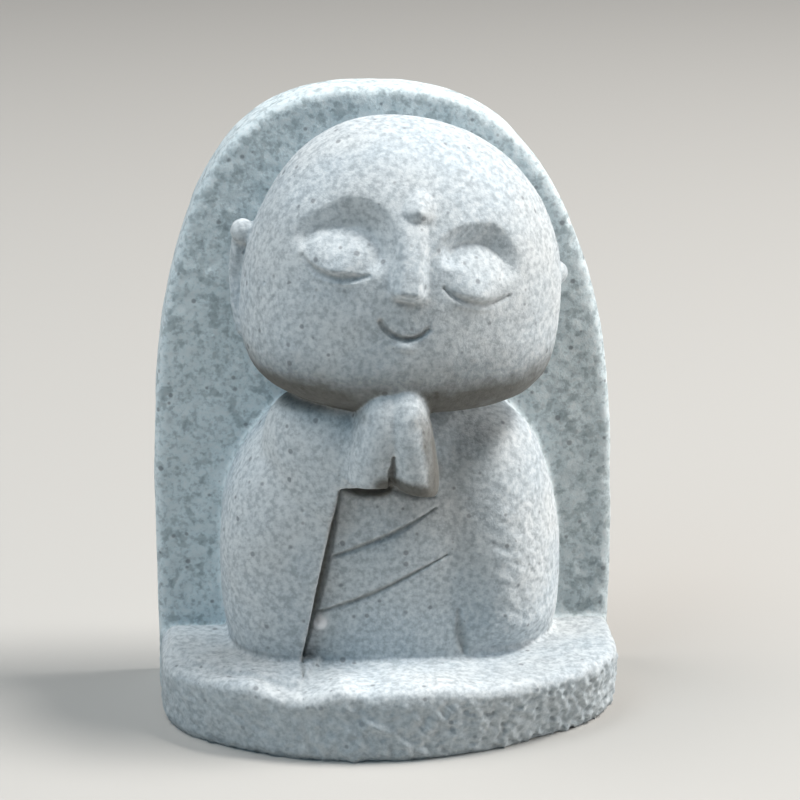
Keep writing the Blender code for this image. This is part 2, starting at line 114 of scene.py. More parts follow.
# Body: (left, right, front, back, down, up) from a centre
TORSO_CENTRE = (0.2, 0.0, 11.5)
TORSO_REACH = (29.7, 30.8, 18.9, 5.0, 33.0, 36.5)
LEFT_ARM_CENTRE = (-1.0, -1.0, 15.0)
LEFT_ARM_REACH = (28.6, 28.6, 20.0, 5.0, 36.0, 31.0)
LEFT_ARM_SECTION = 3.8
FOREARM_CENTRE = (-9.5, -12.0, 37.5)
FOREARM_REACH = (12.5, 10.0, 10.0, 8.0, 17.0, 11.0)
FOREARM_SWING = -26.0
BODY_FULLNESS = 2.5
RIGHT_SLEEVE_PATH = ((19.5, 35.0), (19.8, 16.0), (21.5, 0.0))
RIGHT_SLEEVE_HALF_WIDTH = 10.5
RIGHT_SLEEVE_RISE = 2.6

# Where the left arm stops, as an outline of (x, z): down the sleeve's edge, and back over the torso
ROBE_OPENING = ((-9.4, 33.3), (-16.4, -0.3), (-17.0, -6.0), (45.0, -6.0), (45.0, 98.0), (3.0, 98.0),
                (3.0, 32.5), (-1.0, 33.3))

# Stone left standing beside the foot: its outline seen from above, its lowest and highest level, its rounding
MOUND = ((-12.5, -17.5), (-16.8, -27.0), (-21.8, -25.6), (-29.4, -21.8), (-35.4, -16.8), (-39.0, -10.5),
         (-39.0, -1.0), (-12.5, -1.0))
MOUND_LEVELS = (-2.0, 1.0)
MOUND_ROUNDING = 0.6

# Hands, pressed flat together and pointing up, and what fills the gap above: (centre, reach, lean in degrees)
HANDS = (
    ((-3.3, -22.0, 40.6), (4.6, 4.6, 7.2, 9.0, 12.0, 12.0), 12.0),
    ((2.7, -22.0, 40.6), (4.1, 4.0, 8.4, 9.0, 12.0, 12.4), -8.0),
    ((-0.2, -21.8, 43.5), (4.8, 4.4, 7.0, 8.0, 6.0, 9.4), 2.0),
)
HAND_NOD = 8.0

# What lies below the wrists, and below the ground, as outlines of (x, z)
BELOW_HANDS = ((-12.0, 35.0), (-12.0, 0.0), (45.0, 0.0), (45.0, 33.0), (6.5, 33.0), (-1.0, 35.2))
BELOW_GROUND = ((-45.0, -6.0), (-45.0, -45.0), (45.0, -45.0), (45.0, -6.0))

# Where the left hand, the forearm and the shoulder run into each other: (centre, reach)
BLENDS = (
    ((-8.5, 42.0), (6.0, 8.0)),
    ((-17.5, 38.0), (8.0, 9.0)),
)
BLEND_FRONT = -6.0
BLEND_STRENGTH = 1.6
BLEND_FADE = (0.6, 3.0)

# Head
HEAD_CENTRE = (-0.3, -7.0, 63.3)
HEAD_REACH = (24.9, 29.7, 21.5, 12.0, 18.1, 30.8)
HEAD_FULLNESS_DOWN = 3.6
HEAD_FULLNESS_UP = 2.12
HEAD_SECTION = 2.1
HEAD_LEAN = 4.6
FACE_CENTRE = (2.0, 68.5)
FACE_TILT = 10.5

# Ears: each has a knob at its top, (centre, radius), and a strip below, (path, radius)
EAR_TOPS = (
    ((-24.7, -5.6, 74.4), 2.1),
    ((28.8, -6.6, 66.2), 2.1),
)
EAR_STRIPS = (
    (((-25.2, -4.6, 73.0), (-25.8, -3.8, 66.0), (-25.2, -4.2, 58.0), (-24.4, -5.0, 56.0)), 1.3),
    (((28.2, -5.6, 66.0), (28.8, -5.0, 60.0), (27.8, -5.4, 54.0)), 1.2),
)

# The face, in its own tilted plane: right and up from FACE_CENTRE. Each eye has the edge of its
# brow, drawn with the hollow on its right hand, the slope of the hollow, the lid and the closed line.
LEFT_EYE = {
    "brow": ((-21.4, 3.0), (-20.4, 5.8), (-17.9, 9.2), (-13.7, 12.8), (-9.6, 13.6),
             (-6.2, 12.5), (-4.4, 10.4), (-3.3, 7.0), (-2.5, 3.5), (-2.2, 1.0)),
    "slope": 0.75,
    "depth": 2.9,
    "lid": ((-12.9, 1.3), (9.6, 8.4, 4.4, 7.2)),
    "line": ((-18.2, 2.4), (-16.2, 1.0), (-13.8, 0.5), (-11.3, 0.7), (-9.2, 1.2), (-7.4, 1.9)),
}
RIGHT_EYE = {
    "brow": ((2.4, 5.0), (3.2, 9.0), (5.3, 11.4), (7.6, 12.4), (9.9, 12.8),
             (11.9, 12.7), (13.9, 11.9), (15.3, 10.6), (17.0, 8.4), (19.0, 4.5)),
    "slope": 0.9,
    "depth": 2.6,
    "lid": ((10.4, 0.9), (8.8, 9.2, 4.4, 8.4)),
    "line": ((5.2, 1.9), (6.8, 1.0), (8.8, 0.4), (11.2, 0.1), (13.4, 0.3), (15.0, 0.8), (16.4, 1.5)),
}
LID_RISE = 1.2
LID_FALL = 3.6
LID_SECTION = 1.5
LID_FULLNESS = 2.4
LID_EASE = 0.3
HOLLOW_START = 0.06
HOLLOW_EASE = 0.2
HOLLOW_ENDS = (0.16, 0.8)
HOLLOW_FADE = (0.5, 5.5)
EYE_LINE = (1.15, 0.9)
EYE_LINE_ENDS = (0.35, 0.65)
EYE_LINE_END_DEPTH = 0.4
EYE_LINE_END_WIDTH = 0.5
NOSE_PATH = ((-1.7, 12.0), (-1.3, 8.0), (-0.9, 4.5), (-0.6, 0.0))
NOSE_HALF_WIDTHS = (2.9, 3.6)
NOSE_RIDGE = 0.3
NOSE_RISES = (0.4, 2.9)
NOSE_END = (-1.6, 0.7)
MOUTH = ((-4.1, -5.2), (-3.0, -6.4), (-1.4, -7.2), (0.5, -7.4), (2.1, -6.9), (3.1, -6.1), (3.8, -5.2))
MOUTH_LINE = (0.75, 0.8)
URNA_CENTRE = (-0.8, 13.0)
URNA_REACH = (2.9, 3.8, 1.9)
URNA_RISE = 1.2
URNA_FULLNESS = 0.7
LIP_CENTRE = (0.3, -8.8)
LIP_REACH = (2.6, 1.2)
LIP_RISE = 0.3
CHIN_FADE = (-14.0, -10.0)
FACE_DIVIDE = -0.5

# Carved lines of the body, seen from the front: (path of (x, z), half-width, depth)
BODY_LINES = (
    (((-9.1, 32.6), (-12.2, 16.5), (-15.8, 0.8)), 1.0, 1.2),
    (((-1.2, 31.6), (-5.0, 31.3), (-9.4, 31.9)), 1.3, 1.2),
    (((-1.2, 31.6), (3.5, 30.2), (7.0, 29.8)), 1.1, 0.8),
    (((-1.0, 34.0), (-1.1, 36.5), (-1.0, 38.5), (-0.8, 41.0)), 0.85, 1.6),
    (((-10.4, 19.6), (-4.1, 21.9), (1.1, 24.1), (7.3, 27.8)), 0.7, 0.55),
    (((-13.1, 9.4), (-5.8, 11.8), (1.1, 15.1), (9.4, 19.5)), 0.7, 0.55),
    (((12.4, 0.8), (12.0, 4.0), (11.4, 9.0)), 1.3, 0.5),
)
CARVED_FACING = (0.0, 0.35)
TAPER_FIRST = 0.6
TAPER_LAST = 0.4
TAPER_ENDS = (0.25, 0.55)
LINE_FADE = (0.0, 1.2)
HEM_FADE = (0.0, 6.0)
SLAB_FADE = (1.0, 3.0)

# Brown stain along the creases, and painted shade under the forearm's ledge, the hands' lower end and the
# head, seen from the front: (path of (x, z), reach, strength)
BODY_STAINS_AND_SHADE = (
    (((-7.8, 31.8), (-5.0, 31.4), (-1.0, 31.6), (0.5, 34.5)), 2.0, 1.8),
    (((-2.6, 35.8), (2.5, 34.6), (6.2, 34.2), (6.8, 34.4)), 2.7, 2.0),
    (((-9.4, 32.0), (-12.4, 16.5), (-16.0, 0.8)), 0.8, 1.3),
    (((3.0, 47.2), (10.0, 46.4), (18.0, 45.6), (21.5, 46.5)), 2.0, 0.9),
    (((-22.0, 46.5), (-14.0, 46.8), (-6.0, 47.4)), 1.8, 0.7),
)
# Carved lines painted darker, with brown dirt and painted shade in them: how dark, how wide, and the lowest
# level
LINE_DIRT_AND_SHADE = 0.85
LINE_DIRT_AND_SHADE_WIDTH = 1.3
LOWEST_LINE_DIRT_AND_SHADE = 0.4
# Where the dirt and painted shade reach, which way the stone faces there, and how patchy they are
DIRT_AND_SHADE_DEPTHS = (2.0, 8.0)
DIRT_AND_SHADE_FACING = (-0.5, 0.1)
DIRT_AND_SHADE_EVEN = 0.75
DIRT_AND_SHADE_PATCHES = ((0.2, 3.0, 11),)

# The same on the face, in its own plane: dirt and painted shade in the closed lines and the mouth, and
# painted shade under the nose's tip
FACE_STAINS_AND_SHADE = (
    (LEFT_EYE["line"], 0.9, 0.3),
    (RIGHT_EYE["line"], 0.9, 0.3),
    (MOUTH, 0.9, 0.6),
    (((-2.4, -1.3), (0.0, -1.6), (1.8, -1.3)), 1.1, 0.35),
)

# Painted shade under the chin, darker still where the stone faces down, with some greenish-brown grime
CHIN_SHADE_AND_DIRT = 1.0
CHIN_SHADE = 0.4
CHIN_LEVELS = (-62.0, -50.0)
SHOULDER_LEVEL = 44.5
FACING_DOWN = (-0.05, 0.6)
BELOW_CHEEKS = (-0.05, 0.1)

# Dirt on the stone beside the foot: its middle, its reach, and its level with the reach up and down
MOUND_DIRT = 0.45
MOUND_DIRT_CENTRE = (-27.0, -15.0)
MOUND_DIRT_REACH = (15.0, 12.0)
MOUND_DIRT_LEVEL = (0.6, 1.6)

# Painted shade and brown dirt down the side of the hands that faces right: how far right they end, how far
# forward and how high they begin
HAND_SHADE_AND_DIRT = 1.2
HANDS_RIGHT = 10.0
HANDS_BACK = -18.0
HANDS_LOWEST = 32.0
HAND_SHADE_FACING = (0.3, 0.7)
HAND_SHADE_AND_DIRT_TOP = (45.0, 51.0)

# Painted shade: a darker zone low on the slab, at the right of the figure
SLAB_PAINTED_SHADE = 0.2
SLAB_PAINTED_SHADE_ACROSS = (27.0, 32.0)
SLAB_PAINTED_SHADE_LEVELS = (-42.0, -24.0)
SLAB_PAINTED_SHADE_DEPTHS = (-2.0, 4.0)
SLAB_SHADE = (-1.6, -0.6)

# The base's front rim rises and sinks: (x, height)
RIM_WAVE = ((-36.0, 0.5), (-25.3, 0.9), (-19.5, -0.9), (-16.5, -0.9), (-13.0, 0.3), (-10.0, 1.2),
            (-5.0, 0.6), (0.0, 1.0), (8.0, 0.8), (14.0, 0.2), (41.0, 0.0))
RIM_DEPTHS = (21.0, 28.0)
RIM_LEVELS = (-9.0, -1.5)
RIM_TOP = 2.5

# Noise over the whole skin, and finer noise where it is seen: (height, cell, seed)
UNDULATION = ((0.22, 9.0, 1), (0.08, 3.6, 2))
FINE_GRAIN = ((0.045, 1.1, 3), (0.03, 0.6, 4))
GRAIN_FACING = (-0.4, 0.1)

# Where the base's upright sides are: by how far the stone faces up, below the rim, and before the back
BASE_SIDE_FACING = (0.55, 0.85)
BASE_SIDE_TOP = (0.6, 2.5)
BASE_SIDE_BACK = (3.0, 6.0)

# Pits and ridges round the base, more to the right. They fade out before the back.
BASE_PITS = {"cell": 1.6, "seed": 5, "depth": 0.7, "squash": (1.0, 1.0, 1.2)}
BASE_PITS_LEAST = 0.3
BASE_PITS_ACROSS = (-12.0, 26.0)
BASE_RIDGES = {"height": 0.42, "cell": 0.95, "seed": 6}
BASE_RIDGES_LEAST = 0.5
BASE_RIDGES_ACROSS = (-30.0, -5.0)
BASE_RELIEF_FADE = (-6.0, 2.0)
RIDGE_SLANT = math.radians(52.0)
RIDGE_LENGTH = 2.4

# Tool marks on the right sleeve: how steeply they run down to the right, how long they are for their width,
# where their middle is, how far they reach, and where the sleeve begins, from the slab and from the base
SCRATCHES = {"height": 0.2, "cell": 0.95, "seed": 7}
SCRATCH_SLANT = math.radians(28.0)
SCRATCH_LENGTH = 3.5
SCRATCH_CENTRE = (20.0, 14.0)
SCRATCH_REACH = (15.0, 24.0)
SCRATCH_START = (-4.0, 0.2)

# The slab's face: rough, with pits that deepen to the right
SLAB_FACE_FADE = (-1.4, -0.5)
SLAB_FACING = -0.5
SLAB_GRAIN = {"height": 0.09, "cell": 1.9, "seed": 8}
SLAB_PITS = {"cell": 2.6, "seed": 9}
SLAB_PIT_DEPTHS = (0.12, 0.2)
SLAB_PITS_ACROSS = (10.0, 34.0)

# Small holes, and the pale bead beside the sleeve, which stands out: (place, radius, depth)
BEAD = (-12.8, -18.1, 7.4)
MARKS = (
    ((-26.2, -6.0, 71.6), 0.8, 0.9),
    ((-25.9, -5.5, 55.8), 0.8, 0.9),
    ((29.9, -7.0, 60.3), 0.8, 0.9),
    ((-21.5, -18.0, 68.5), 0.45, 0.5),
    ((26.1, -10.0, 1.8), 1.0, 0.5),
    (BEAD, 1.5, -1.1),
)
BEAD_PALENESS = 2.0
BEAD_PALE_REACH = 1.9

# The stone's colours: linear red, green, blue, and 1
BODY_COLOURS = ((0.47, 0.53, 0.57, 1.0), (0.55, 0.585, 0.60, 1.0))
# The slab's colour, bluer and lighter than the figure's: partly its own tint, partly painted sky light in its
# shade
SLAB_COLOUR_AND_SKY_SHADE = (0.61, 0.70, 0.73, 1.0)
DARK_GRAIN = (0.26, 0.295, 0.32, 1.0)
LIGHT_GRAIN = (0.72, 0.75, 0.76, 1.0)
DARK_PATCH = (0.22, 0.27, 0.285, 1.0)
LIGHT_PATCH = (0.66, 0.72, 0.74, 1.0)
SPECK_COLOUR = (0.19, 0.205, 0.22, 1.0)
# Painted shade on the base's upright sides: a darker blue-grey
BASE_SIDE_SHADE_COLOUR = (0.27, 0.33, 0.36, 1.0)
# Brown dirt, and painted shade in the creases, under the chin and hands and low on the slab
DIRT_AND_SHADE_COLOUR = (0.085, 0.078, 0.062, 1.0)
BEAD_COLOUR = (0.86, 0.86, 0.87, 1.0)
# How much painted shade goes on the base's upright sides
BASE_SIDE_SHADE_SHARE = 0.3
# How much of the dirt and painted shade is mixed in
DIRT_AND_SHADE_SHARE = 0.88
STONE_ROUGHNESS = 0.88
STONE_SPECULAR = 0.35

# Noise in the stone's colour, and the bump's: (cell, detail, roughness)
BROAD_NOISE = (14.0, 3.0)
GRAIN_NOISE = (1.0, 3.0, 0.6)
PATCH_NOISE = (2.1, 2.0, 0.55)
BUMP_NOISE = (0.42, 3.0, 0.65)
BUMP_STRENGTH = 0.55
BUMP_DEPTH = 0.16
SPECK_CELL = 2.2

# What the noise is mapped to: (low, high), or (low, high, value at low, value at high)
BROAD_RAMP = (0.35, 0.65)
GRAIN_RAMP = (0.36, 0.64)
DARK_GRAIN_RAMP = (0.0, 0.5, 0.5, 0.0)
LIGHT_GRAIN_RAMP = (0.5, 1.0, 0.0, 0.5)
DARK_PATCH_RAMP = (0.46, 0.36, 0.0, 0.45)
LIGHT_PATCH_RAMP = (0.54, 0.64, 0.0, 0.5)
SPECK_REACH_RAMP = (0.5, 1.0, 0.05, 0.27)
SPECK_EDGE_RAMP = (-0.02, 0.09, 0.0, 0.7)

# Studio
AIM_POINT = ORIGIN + UNIT * Vector((0.0, 0.0, 42.5))
FLOOR_RADIUS = 6.0
FLOOR_SEGMENTS = 96
FLOOR_COLOUR = (0.44, 0.43, 0.41)
FLOOR_ROUGHNESS = 0.9
LIGHT_DISTANCE = 1.4
WORLD_COLOUR = (0.72, 0.87, 1.0)
WORLD_STRENGTH = 0.03

# Soft lights: (azimuth, elevation, width, watts, colour)
LIGHTS = {
    "key": (83.0, 62.0, 0.36, 20.0, (1.0, 0.965, 0.93)),
    "right_side": (90.0, 17.0, 0.7, 13.0, (1.0, 0.99, 0.98)),
    "left_sky": (-86.0, 65.0, 0.9, 13.5, (1.0, 0.97, 0.95)),
    "front_sky": (-50.0, 45.0, 0.9, 5.0, (0.5, 0.8, 1.0)),
}

# Camera: the photograph's angle, framing and distance
CAMERA_AZIMUTH = -4.511
CAMERA_ELEVATION = 17.57
CAMERA_DISTANCE = 0.45
CAMERA_LENS = 115.0
CAMERA_SENSOR = 36.0
CAMERA_SHIFT = (0.01834, -0.00446)


def smooth_step(value, low, high):
    """Rises from 0 at low to 1 at high, without corners."""
    share = np.clip((value - low) / (high - low), 0.0, 1.0)
    return share * share * (3.0 - 2.0 * share)


def bell(distance):
    """1 in the middle, 0 from distance 1 on, smooth at both."""
    return np.clip(1.0 - distance ** 2, 0.0, None) ** 2


def higher(first, second, softness):
    """The higher of two surfaces, with a soft crease between them."""
    return 0.5 * (first + second + np.sqrt((first - second) ** 2 + softness ** 2))


def taper(share):
    """Narrower towards both ends of a carved line, more so at its last one."""
    first = TAPER_FIRST + (1.0 - TAPER_FIRST) * smooth_step(share, 0.0, TAPER_ENDS[0])
    return first * (1.0 - (1.0 - TAPER_LAST) * smooth_step(share, TAPER_ENDS[1], 1.0))


def spline(points, steps=10):
    """Samples a Catmull-Rom curve through the points."""
    knots = np.array([points[0], *points, points[-1]], dtype=float)
    samples = []
    for before, start, end, after in zip(knots, knots[1:], knots[2:], knots[3:]):
        for share in np.arange(steps) / steps:
            samples.append(0.5 * (
                2.0 * start
                + (end - before) * share
                + (2.0 * before - 5.0 * start + 4.0 * end - after) * share ** 2
                + (3.0 * start - before - 3.0 * end + after) * share ** 3))
    samples.append(knots[-1])
    return np.array(samples)


def nearest(path, across, up):
    """Distance from each point to a path, the share of its length there, and on which hand the point is."""
    runs = np.linalg.norm(np.diff(path, axis=0), axis=1)
    covered = np.concatenate(([0.0], np.cumsum(runs))) / runs.sum()
    best = np.full(across.shape, np.inf)
    share = np.zeros(across.shape)
    right_hand = np.zeros(across.shape)
    for start, end, low, high in zip(path, path[1:], covered, covered[1:]):
        run = end - start
        side, rise = across - start[0], up - start[1]
        along = np.clip((side * run[0] + rise * run[1]) / (run @ run), 0.0, 1.0)
        distance = np.hypot(side - along * run[0], rise - along * run[1])
        closer = distance < best
        best[closer] = distance[closer]
        share[closer] = (low + (high - low) * along)[closer]
        right_hand[closer] = np.sign(side * run[1] - rise * run[0])[closer]
    return best, share, right_hand


def value_noise(points, cell, seed):
    """Smooth noise from -1 to 1, whose lumps are about a cell wide."""
    table = np.random.default_rng(seed).random(NOISE_TABLE) * 2.0 - 1.0
    grid = points / cell
    corner = np.floor(grid).astype(int)
    share = grid - corner
    share = share * share * (3.0 - 2.0 * share)
    total = np.zeros(len(points))
    for step in itertools.product((0, 1), repeat=3):
        weight = np.prod(np.where(step, share, 1.0 - share), axis=1)
        i, j, k = ((corner + step) % NOISE_TABLE).T
        total += weight * table[i, j, k]
    return total


def pits(points, cell, seed):
    """Dimples of uneven depth, one in each cell: 1 in the middle of the deepest, 0 outside them."""
    random = np.random.default_rng(seed)
    jitter = random.random((*NOISE_TABLE, 3))
    strength = random.random(NOISE_TABLE)
    grid = points / cell
    corner = np.floor(grid).astype(int)
    deepest = np.zeros(len(points))
    for step in itertools.product((-1, 0, 1), repeat=3):
        neighbour = corner + step
        i, j, k = (neighbour % NOISE_TABLE).T
        distance = np.linalg.norm(grid - neighbour - jitter[i, j, k], axis=1)
        deepest = np.maximum(deepest, strength[i, j, k] * bell(distance / PIT_REACH))
    return deepest


def noise_layers(points, layers):
    """The sum of layers of noise: (height, cell, seed)."""
    return sum(height * value_noise(points, cell, seed) for height, cell, seed in layers)


def add_object(name, bm):
    """Turns a bmesh into an object of the scene."""
    mesh = bpy.data.meshes.new(name)
    bm.to_mesh(mesh)
    bm.free()
    model_object = bpy.data.objects.new(name, mesh)
    bpy.context.scene.collection.objects.link(model_object)
    return model_object


def apply_modifier(model, name, kind, **settings):
    """Adds a modifier with its settings, and applies it."""
    modifier = model.modifiers.new(name, kind)
    for setting, value in settings.items():
        setattr(modifier, setting, value)
    bpy.context.view_layer.objects.active = model
    bpy.ops.object.modifier_apply(modifier=modifier.name)


def blob(name, centre, reach, fullness, fullness_down=None, section=None, lean=0.0, nod=0.0, swing=0.0):
    """A rounded form whose six half-lengths differ, from a sphere.

    Fullness 2 is an ellipsoid, more is squarer. lean tips it to the right, nod to the front, and swing
    turns it about the upright, in degrees.
    """
    bm = bmesh.new()
    around_steps, upright_steps = BLOB_SEGMENTS
    bmesh.ops.create_uvsphere(bm, u_segments=around_steps, v_segments=upright_steps, radius=1.0)
    left, right, front, back, down, up = reach
    section = section or fullness
    for vert in bm.verts:
        x, y, z = vert.co
        power = fullness_down if z < 0.0 and fullness_down else fullness
        around = (abs(x) ** section + abs(y) ** section) ** (power / section)
        scale = (around + abs(z) ** power) ** (-1.0 / power)
        x *= scale * (left if x < 0.0 else right)
        y *= scale * (front if y < 0.0 else back)
        z *= scale * (down if z < 0.0 else up)
        vert.co = (x, y, z)
    turn = Matrix.Identity(4)
    for degrees, axis in ((swing, "Z"), (nod, "X"), (lean, "Y")):
        turn = turn @ Matrix.Rotation(math.radians(degrees), 4, axis)
    bmesh.ops.transform(bm, matrix=Matrix.Translation(centre) @ turn, verts=bm.verts)
    return add_object(name, bm)


def put_in_order(form):
    """Numbers a cut form's points and faces by their place, as the Boolean numbers them anew each run."""
    mesh = form.data
    places = [tuple(vertex.co) for vertex in mesh.vertices]
    order = sorted(range(len(places)), key=places.__getitem__)
    rank = {old: new for new, old in enumerate(order)}
    faces = []
    for polygon in mesh.polygons:
        corners = [rank[corner] for corner in polygon.vertices]
        first = corners.index(min(corners))
        faces.append(corners[first:] + corners[:first])
    mesh.clear_geometry()
    mesh.from_pydata([places[old] for old in order], [], sorted(faces))


def cut_out(form, outline):
    """Takes away what lies within an outline of (x, z), seen from the front."""
    bm = bmesh.new()
    corners = [bm.verts.new((x, -BASE_DEPTH, z)) for x, z in outline]
    front = bm.faces.new(corners)
    grown = bmesh.ops.extrude_face_region(bm, geom=[front])["geom"]
    back = [item for item in grown if isinstance(item, bmesh.types.BMVert)]
    bmesh.ops.translate(bm, vec=(0.0, 2.0 * BASE_DEPTH, 0.0), verts=back)
    bmesh.ops.recalc_face_normals(bm, faces=bm.faces)
    cutter = add_object("cutter", bm)
    apply_modifier(form, "Cut out", "BOOLEAN", operation="DIFFERENCE", solver="EXACT", object=cutter)
    bpy.data.objects.remove(cutter)
    put_in_order(form)


def curve_to_mesh(name, curve):
    """A curve's surface as a closed mesh."""
    drawn = bpy.data.objects.new(name, curve)
    bpy.context.scene.collection.objects.link(drawn)
    evaluated = drawn.evaluated_get(bpy.context.evaluated_depsgraph_get())
    bm = bmesh.new()
    bm.from_mesh(bpy.data.meshes.new_from_object(evaluated))
    bpy.data.objects.remove(drawn)
    bmesh.ops.remove_doubles(bm, verts=bm.verts, dist=SEAM_GAP)
    bmesh.ops.recalc_face_normals(bm, faces=bm.faces)
    return add_object(name, bm)


def plan_block(name, outline, low, high, rounding):
    """An upright block from an outline seen from above, with rounded edges."""
    curve = bpy.data.curves.new(name, "CURVE")
    curve.dimensions = "2D"
    curve.fill_mode = "BOTH"
    curve.extrude = (high - low) / 2 - rounding
    curve.bevel_depth = rounding
    curve.bevel_resolution = BLOCK_EDGE_STEPS
    curve.offset = -rounding
    polyline = curve.splines.new("POLY")
    polyline.points.add(len(outline) - 1)
    for point, (x, y) in zip(polyline.points, outline):
        point.co = (x, y, 0.0, 1.0)
    polyline.use_cyclic_u = True
    block = curve_to_mesh(name, curve)
    block.data.transform(Matrix.Translation((0.0, 0.0, (low + high) / 2)))
    return block


def tube(name, points, radius):
    """A round bar along a smooth path."""
    curve = bpy.data.curves.new(name, "CURVE")
    curve.dimensions = "3D"
    curve.bevel_depth = radius
    curve.bevel_resolution = TUBE_EDGE_STEPS
    curve.use_fill_caps = True
    path = spline(points, TUBE_STEPS)
    polyline = curve.splines.new("POLY")
    polyline.points.add(len(path) - 1)
    for point, position in zip(polyline.points, path):
        point.co = (*position, 1.0)
    return curve_to_mesh(name, curve)


def slab():
    """The upright slab: straight sides below the spring, then an arch a little fuller at the left."""
    outline = [(SLAB_WIDTH / 2, -BASE_HEIGHT)]
    for step in range(2 * ARCH_STEPS + 1):
        angle = math.pi * step / (2 * ARCH_STEPS)
        right_side = step <= ARCH_STEPS
        fullness = ARCH_FULLNESS_RIGHT if right_side else ARCH_FULLNESS_LEFT
        reach = SLAB_WIDTH / 2 - ARCH_APEX if right_side else SLAB_WIDTH / 2 + ARCH_APEX
        across = abs(math.cos(angle)) ** (2.0 / fullness) * (1 if right_side else -1)
        rise = math.sin(angle) ** (2.0 / fullness) if 0 < step < 2 * ARCH_STEPS else 0.0
        outline.append((ARCH_APEX + reach * across, ARCH_SPRING + (SLAB_TOP - ARCH_SPRING) * rise))
    outline.append((-SLAB_WIDTH / 2, -BASE_HEIGHT))
    form = plan_block("slab", outline, 0.0, SLAB_THICKNESS, SLAB_ROUNDING)
    upright = Matrix.Rotation(math.pi / 2, 4, "X")
    form.data.transform(Matrix.Translation((0.0, SLAB_THICKNESS, 0.0)) @ upright)
    return form


def base():
    """The low base: nearly as wide as the slab, with a round front that draws in towards the ground."""
    front_centre = BASE_FRONT + BASE_FRONT_CURVE
    outline = [(BASE_WIDTH / 2, SLAB_THICKNESS), (-BASE_WIDTH / 2, SLAB_THICKNESS)]
    for step in range(BASE_STEPS + 1):
        angle = math.pi * (1.0 + step / BASE_STEPS)
        outline.append((BASE_WIDTH / 2 * math.cos(angle), front_centre + BASE_FRONT_CURVE * math.sin(angle)))
    form = plan_block("base", outline, -BASE_HEIGHT, 0.0, BASE_ROUNDING)
    draw_x, draw_y = zip(*BASE_DRAWN_IN)
    for vertex in form.data.vertices:
        x, y, z = vertex.co
        if z < -BASE_HEIGHT / 2:
            vertex.co.y += np.interp(x, draw_x, draw_y) * smooth_step(-y, 0.0, BASE_DRAW_DEPTH)
    return form


def body():
    """Torso, the left sleeve, the one forearm that shows, and the stone left beside the foot."""
    torso = blob("torso", TORSO_CENTRE, TORSO_REACH, BODY_FULLNESS)
    left_sleeve = blob("left_sleeve", LEFT_ARM_CENTRE, LEFT_ARM_REACH, BODY_FULLNESS,
                       section=LEFT_ARM_SECTION)
    forearm = blob("forearm", FOREARM_CENTRE, FOREARM_REACH, BODY_FULLNESS, swing=FOREARM_SWING)
    for arm in (left_sleeve, forearm):
        cut_out(arm, ROBE_OPENING)
    for form in (torso, left_sleeve):
        cut_out(form, BELOW_GROUND)
    mound = plan_block("mound", MOUND, *MOUND_LEVELS, MOUND_ROUNDING)
    return [torso, left_sleeve, forearm, mound]


def hands():
    """Two mitten-like hands, palm to palm, cut off level at the wrists."""
    forms = []
    for number, (centre, reach, lean) in enumerate(HANDS):
        hand = blob(f"hand_{number}", centre, reach, BODY_FULLNESS, lean=lean, nod=HAND_NOD)
        cut_out(hand, BELOW_HANDS)
        forms.append(hand)
    return forms


def head_and_ears():
    """A round head, fuller at the cheeks, half sunk into the slab, with long thin ears."""
    head = blob("head", HEAD_CENTRE, HEAD_REACH, HEAD_FULLNESS_UP,
                fullness_down=HEAD_FULLNESS_DOWN, section=HEAD_SECTION, lean=HEAD_LEAN)
    ears = [blob(f"ear_top_{number}", centre, 6 * (radius,), 2.0)
            for number, (centre, radius) in enumerate(EAR_TOPS)]
    ears += [tube(f"ear_{number}", points, radius) for number, (points, radius) in enumerate(EAR_STRIPS)]
    return [head, *ears]


def fuse(name, forms):
    """Fuses overlapping forms into one skin of even grain."""
    bpy.ops.object.select_all(action="DESELECT")
    for form in forms:
        form.select_set(True)
    bpy.context.view_layer.objects.active = forms[0]
    bpy.ops.object.join()
    fused = bpy.context.view_layer.objects.active
    fused.name = name
    fused.data.name = name
    apply_modifier(fused, "Skin", "REMESH", mode="VOXEL", voxel_size=VOXEL)
    apply_modifier(fused, "Soften", "SMOOTH", factor=SMOOTH_FACTOR, iterations=SOFTENING_STEPS)
    return fused


def read_skin(model):
    """The model's points and their normals, as two arrays of rows."""
    mesh = model.data
    points = np.empty(3 * len(mesh.vertices))
    normals = np.empty(3 * len(mesh.vertices))
    mesh.vertices.foreach_get("co", points)
    mesh.vertices.foreach_get("normal", normals)
    return points.reshape(-1, 3), normals.reshape(-1, 3)


def write_skin(model, points):
    """Moves the model's points."""
    model.data.vertices.foreach_set("co", points.ravel())
    model.data.update()


def set_weights(model, name, weights):
    """Stores one weight a point, in even steps, as a vertex group. Weights under half a step are left out."""
    group = model.vertex_groups.new(name=name)
    steps = np.rint(weights * WEIGHT_STEPS).astype(int)
    for step in range(1, WEIGHT_STEPS + 1):
        chosen = np.flatnonzero(steps == step)
        group.add(chosen.tolist(), step / WEIGHT_STEPS, "REPLACE")


def blend_arm(model):
    """Runs the left hand, the forearm and the shoulder into each other."""
    points, normals = read_skin(model)
    x, y, z = points.T
    weights = np.zeros(len(points))
    for (centre_x, centre_z), (reach_x, reach_z) in BLENDS:
        near = bell(np.hypot((x - centre_x) / reach_x, (z - centre_z) / reach_z))
        weights = np.maximum(weights, near)
    distance, _, outside = nearest(np.array((ROBE_OPENING[-1], *ROBE_OPENING[:2])), x, z)
    weights *= (y < BLEND_FRONT) * smooth_step(distance * outside, *BLEND_FADE)
    set_weights(model, "blend", np.clip(BLEND_STRENGTH * weights, 0.0, 1.0))
    apply_modifier(model, "Blend", "SMOOTH", factor=SMOOTH_FACTOR, iterations=BLEND_STEPS,
                   vertex_group="blend")


